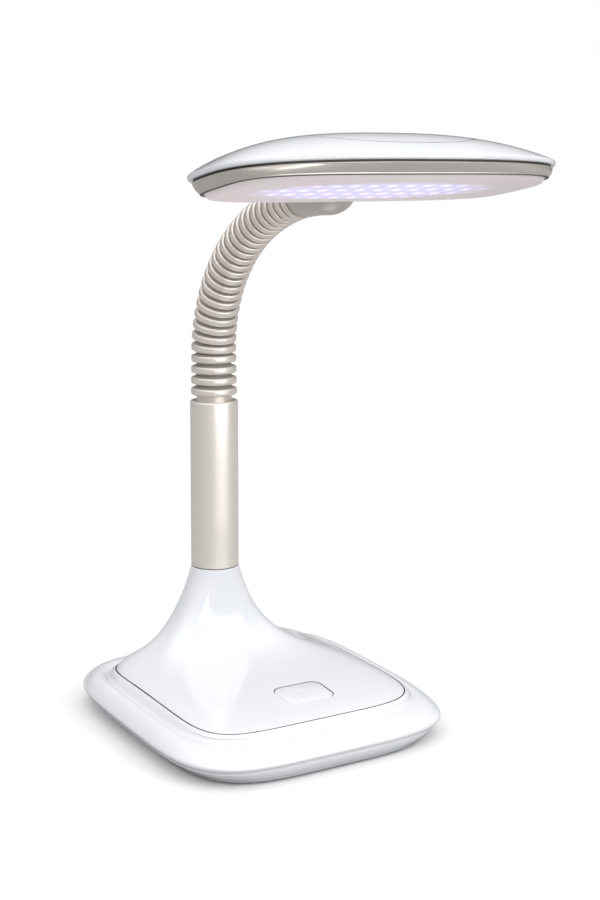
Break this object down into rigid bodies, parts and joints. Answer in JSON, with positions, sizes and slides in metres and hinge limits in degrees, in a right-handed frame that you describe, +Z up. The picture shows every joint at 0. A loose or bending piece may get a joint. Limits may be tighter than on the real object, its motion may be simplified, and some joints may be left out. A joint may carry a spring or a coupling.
{
  "type": "desk lamp",
  "caption": "Desk lamp with a rounded rectangular base, flared column, ribbed flexible neck and a wide flat head with a frosted lens; push button on the base.",
  "frame": {"origin": "middle of the base on the desk, under the four rubber feet", "axes": "+Z up, -Y to the front of the lamp where the head reaches out, +X to the right as seen from behind the lamp"},
  "size_m": [0.2038, 0.2746, 0.3489],
  "materials": {
    "white_gloss": "gloss white moulding",
    "button_white": "gloss white cap",
    "champagne": "satin champagne paint",
    "sleeve": "satin champagne sleeve",
    "bezel_grey": "satin champagne grey",
    "dark_seal": "matt dark seal",
    "lens_frost": "frosted translucent lens",
    "steel": "bright steel",
    "ballast_steel": "raw ballast plate",
    "board_green": "circuit board",
    "board_white": "white circuit board",
    "reflector_white": "matt white",
    "emitter": "emitter resin",
    "switch_black": "black switch body",
    "plunger_red": "red switch plunger",
    "rubber_black": "matt black rubber",
    "champagne_plug": "satin plug"
  },
  "bodies": {
    "base": {"base_pan": "white_gloss", "base_rim": "white_gloss", "base_cover": "white_gloss", "switch_body": "switch_black", "control_board": "board_green", "ballast_weight": "ballast_steel", "rubber_feet": "rubber_black", "base_screws": "steel", "cord_gland": "rubber_black", "column_tube": "champagne", "column_core": "steel", "lock_washer": "steel", "lock_nut": "steel", "neck_collar": "champagne_plug"},
    "neck_link_01": {"neck_link_01": "sleeve"},
    "neck_link_02": {"neck_link_02": "sleeve"},
    "neck_link_03": {"neck_link_03": "sleeve"},
    "neck_link_04": {"neck_link_04": "sleeve"},
    "neck_link_05": {"neck_link_05": "sleeve"},
    "neck_link_06": {"neck_link_06": "sleeve"},
    "neck_link_07": {"neck_link_07": "sleeve"},
    "neck_link_08": {"neck_link_08": "sleeve"},
    "neck_link_09": {"neck_link_09": "sleeve"},
    "neck_link_10": {"neck_link_10": "sleeve"},
    "neck_link_11": {"neck_link_11": "sleeve"},
    "neck_link_12": {"neck_link_12": "sleeve"},
    "neck_link_13": {"neck_link_13": "sleeve"},
    "neck_link_14": {"neck_link_14": "sleeve"},
    "neck_link_15": {"neck_link_15": "sleeve"},
    "neck_link_16": {"neck_link_16": "sleeve"},
    "neck_link_17": {"neck_link_17": "sleeve"},
    "neck_link_18": {"neck_link_18": "sleeve"},
    "neck_link_19": {"neck_link_19": "sleeve"},
    "neck_link_20": {"neck_link_20": "sleeve"},
    "neck_link_21": {"neck_link_21": "sleeve"},
    "neck_link_22": {"neck_link_22": "sleeve"},
    "neck_link_23": {"neck_link_23": "sleeve"},
    "neck_link_24": {"neck_link_24": "sleeve"},
    "neck_link_25": {"neck_link_25": "sleeve"},
    "neck_link_26": {"neck_link_26": "sleeve"},
    "neck_link_27": {"neck_link_27": "sleeve"},
    "head": {"neck_ferrule": "bezel_grey", "head_knuckle": "bezel_grey", "knuckle_screws": "steel", "head_bezel": "bezel_grey", "head_gasket": "dark_seal", "head_shell": "white_gloss", "shell_inlay": "white_gloss", "lens": "lens_frost", "reflector_plate": "reflector_white", "led_board": "board_white", "leds": "emitter", "head_screws": "steel"},
    "power_button": {"power_button": "button_white", "switch_plunger": "plunger_red"}
  },
  "joints": [
    {"name": "button_press", "type": "slide", "parent": "base", "child": "power_button", "axis": [0, 0, -1], "range_m": [0, 0.0018], "stiffness_N_per_m": 700, "springref_m": -0.0012},
    {"name": "neck_bend", "type": "hinge", "parent": "base", "child": "neck_link_01", "pos_m": [0, 0.0546, 0.1926], "axis": [1, 0, 0], "range_deg": [-5.4, 2.2]},
    {"name": "neck_sway", "type": "hinge", "parent": "neck_link_01", "child": "neck_link_02", "pos_m": [0, 0.0546, 0.19947], "axis": [0, 1, 0], "range_deg": [-3.2, 3.2]},
    {"name": "neck_bend_03", "type": "hinge", "parent": "neck_link_02", "child": "neck_link_03", "pos_m": [0, 0.0546, 0.20634], "axis": [1, 0, 0], "range_deg": [-5.41, 2.21]},
    {"name": "neck_sway_04", "type": "hinge", "parent": "neck_link_03", "child": "neck_link_04", "pos_m": [0, 0.0546, 0.21321], "axis": [0, 1, 0], "range_deg": [-3.21, 3.21]},
    {"name": "neck_bend_05", "type": "hinge", "parent": "neck_link_04", "child": "neck_link_05", "pos_m": [0, 0.0546, 0.22008], "axis": [1, 0, 0], "range_deg": [-2.98, 1.22]},
    {"name": "neck_sway_06", "type": "hinge", "parent": "neck_link_05", "child": "neck_link_06", "pos_m": [0, 0.05396, 0.22692], "axis": [0, 0.9903, 0.1391], "range_deg": [-3.21, 3.21]},
    {"name": "neck_bend_07", "type": "hinge", "parent": "neck_link_06", "child": "neck_link_07", "pos_m": [0, 0.05269, 0.23367], "axis": [1, 0, 0], "range_deg": [-3.42, 1.4]},
    {"name": "neck_sway_08", "type": "hinge", "parent": "neck_link_07", "child": "neck_link_08", "pos_m": [0, 0.05084, 0.24029], "axis": [0, 0.9507, 0.3102], "range_deg": [-3.21, 3.21]},
    {"name": "neck_bend_09", "type": "hinge", "parent": "neck_link_08", "child": "neck_link_09", "pos_m": [0, 0.04843, 0.24672], "axis": [1, 0, 0], "range_deg": [-3.86, 1.58]},
    {"name": "neck_sway_10", "type": "hinge", "parent": "neck_link_09", "child": "neck_link_10", "pos_m": [0, 0.04551, 0.25294], "axis": [0, 0.8875, 0.4608], "range_deg": [-3.21, 3.21]},
    {"name": "neck_bend_11", "type": "hinge", "parent": "neck_link_10", "child": "neck_link_11", "pos_m": [0, 0.04211, 0.25891], "axis": [1, 0, 0], "range_deg": [-4.3, 1.76]},
    {"name": "neck_sway_12", "type": "hinge", "parent": "neck_link_11", "child": "neck_link_12", "pos_m": [0, 0.03826, 0.2646], "axis": [0, 0.808, 0.5892], "range_deg": [-3.21, 3.21]},
    {"name": "neck_bend_13", "type": "hinge", "parent": "neck_link_12", "child": "neck_link_13", "pos_m": [0, 0.03402, 0.27], "axis": [1, 0, 0], "range_deg": [-4.75, 1.94]},
    {"name": "neck_sway_14", "type": "hinge", "parent": "neck_link_13", "child": "neck_link_14", "pos_m": [0, 0.02941, 0.27509], "axis": [0, 0.7187, 0.6954], "range_deg": [-3.21, 3.21]},
    {"name": "neck_bend_15", "type": "hinge", "parent": "neck_link_14", "child": "neck_link_15", "pos_m": [0, 0.02447, 0.27987], "axis": [1, 0, 0], "range_deg": [-5.19, 2.12]},
    {"name": "neck_sway_16", "type": "hinge", "parent": "neck_link_15", "child": "neck_link_16", "pos_m": [0, 0.01924, 0.28432], "axis": [0, 0.6252, 0.7805], "range_deg": [-3.21, 3.21]},
    {"name": "neck_bend_17", "type": "hinge", "parent": "neck_link_16", "child": "neck_link_17", "pos_m": [0, 0.01375, 0.28846], "axis": [1, 0, 0], "range_deg": [-5.63, 2.3]},
    {"name": "neck_sway_18", "type": "hinge", "parent": "neck_link_17", "child": "neck_link_18", "pos_m": [0, 0.00803, 0.29227], "axis": [0, 0.5322, 0.8466], "range_deg": [-3.21, 3.21]},
    {"name": "neck_bend_19", "type": "hinge", "parent": "neck_link_18", "child": "neck_link_19", "pos_m": [0, 0.00212, 0.29577], "axis": [1, 0, 0], "range_deg": [-6.07, 2.48]},
    {"name": "neck_sway_20", "type": "hinge", "parent": "neck_link_19", "child": "neck_link_20", "pos_m": [0, -0.00396, 0.29896], "axis": [0, 0.4433, 0.8964], "range_deg": [-3.21, 3.21]},
    {"name": "neck_bend_21", "type": "hinge", "parent": "neck_link_20", "child": "neck_link_21", "pos_m": [0, -0.01019, 0.30185], "axis": [1, 0, 0], "range_deg": [-6.51, 2.66]},
    {"name": "neck_sway_22", "type": "hinge", "parent": "neck_link_21", "child": "neck_link_22", "pos_m": [0, -0.01655, 0.30447], "axis": [0, 0.3613, 0.9324], "range_deg": [-3.21, 3.21]},
    {"name": "neck_bend_23", "type": "hinge", "parent": "neck_link_22", "child": "neck_link_23", "pos_m": [0, -0.023, 0.30682], "axis": [1, 0, 0], "range_deg": [-6.96, 2.84]},
    {"name": "neck_sway_24", "type": "hinge", "parent": "neck_link_23", "child": "neck_link_24", "pos_m": [0, -0.02954, 0.30892], "axis": [0, 0.2883, 0.9575], "range_deg": [-3.21, 3.21]},
    {"name": "neck_bend_25", "type": "hinge", "parent": "neck_link_24", "child": "neck_link_25", "pos_m": [0, -0.03616, 0.31078], "axis": [1, 0, 0], "range_deg": [-7.4, 3.02]},
    {"name": "neck_sway_26", "type": "hinge", "parent": "neck_link_25", "child": "neck_link_26", "pos_m": [0, -0.04283, 0.31243], "axis": [0, 0.2256, 0.9742], "range_deg": [-3.21, 3.21]},
    {"name": "neck_bend_27", "type": "hinge", "parent": "neck_link_26", "child": "neck_link_27", "pos_m": [0, -0.04954, 0.31388], "axis": [1, 0, 0], "range_deg": [-7.84, 3.2]},
    {"name": "neck_sway_28", "type": "hinge", "parent": "neck_link_27", "child": "head", "pos_m": [0, -0.05629, 0.31515], "axis": [0, 0.1741, 0.9847], "range_deg": [-3.21, 3.21]}
  ],
  "couplings": [
    {"joint": "neck_bend_03", "follows": "neck_bend", "ratio": 1},
    {"joint": "neck_sway_04", "follows": "neck_sway", "ratio": 1},
    {"joint": "neck_bend_05", "follows": "neck_bend", "ratio": 0.55},
    {"joint": "neck_sway_06", "follows": "neck_sway", "ratio": 1},
    {"joint": "neck_bend_07", "follows": "neck_bend", "ratio": 0.63182},
    {"joint": "neck_sway_08", "follows": "neck_sway", "ratio": 1},
    {"joint": "neck_bend_09", "follows": "neck_bend", "ratio": 0.71364},
    {"joint": "neck_sway_10", "follows": "neck_sway", "ratio": 1},
    {"joint": "neck_bend_11", "follows": "neck_bend", "ratio": 0.79546},
    {"joint": "neck_sway_12", "follows": "neck_sway", "ratio": 1},
    {"joint": "neck_bend_13", "follows": "neck_bend", "ratio": 0.87727},
    {"joint": "neck_sway_14", "follows": "neck_sway", "ratio": 1},
    {"joint": "neck_bend_15", "follows": "neck_bend", "ratio": 0.95909},
    {"joint": "neck_sway_16", "follows": "neck_sway", "ratio": 1},
    {"joint": "neck_bend_17", "follows": "neck_bend", "ratio": 1.0409},
    {"joint": "neck_sway_18", "follows": "neck_sway", "ratio": 1},
    {"joint": "neck_bend_19", "follows": "neck_bend", "ratio": 1.1227},
    {"joint": "neck_sway_20", "follows": "neck_sway", "ratio": 1},
    {"joint": "neck_bend_21", "follows": "neck_bend", "ratio": 1.2045},
    {"joint": "neck_sway_22", "follows": "neck_sway", "ratio": 1},
    {"joint": "neck_bend_23", "follows": "neck_bend", "ratio": 1.2864},
    {"joint": "neck_sway_24", "follows": "neck_sway", "ratio": 1},
    {"joint": "neck_bend_25", "follows": "neck_bend", "ratio": 1.3682},
    {"joint": "neck_sway_26", "follows": "neck_sway", "ratio": 1},
    {"joint": "neck_bend_27", "follows": "neck_bend", "ratio": 1.45},
    {"joint": "neck_sway_28", "follows": "neck_sway", "ratio": 1}
  ]
}
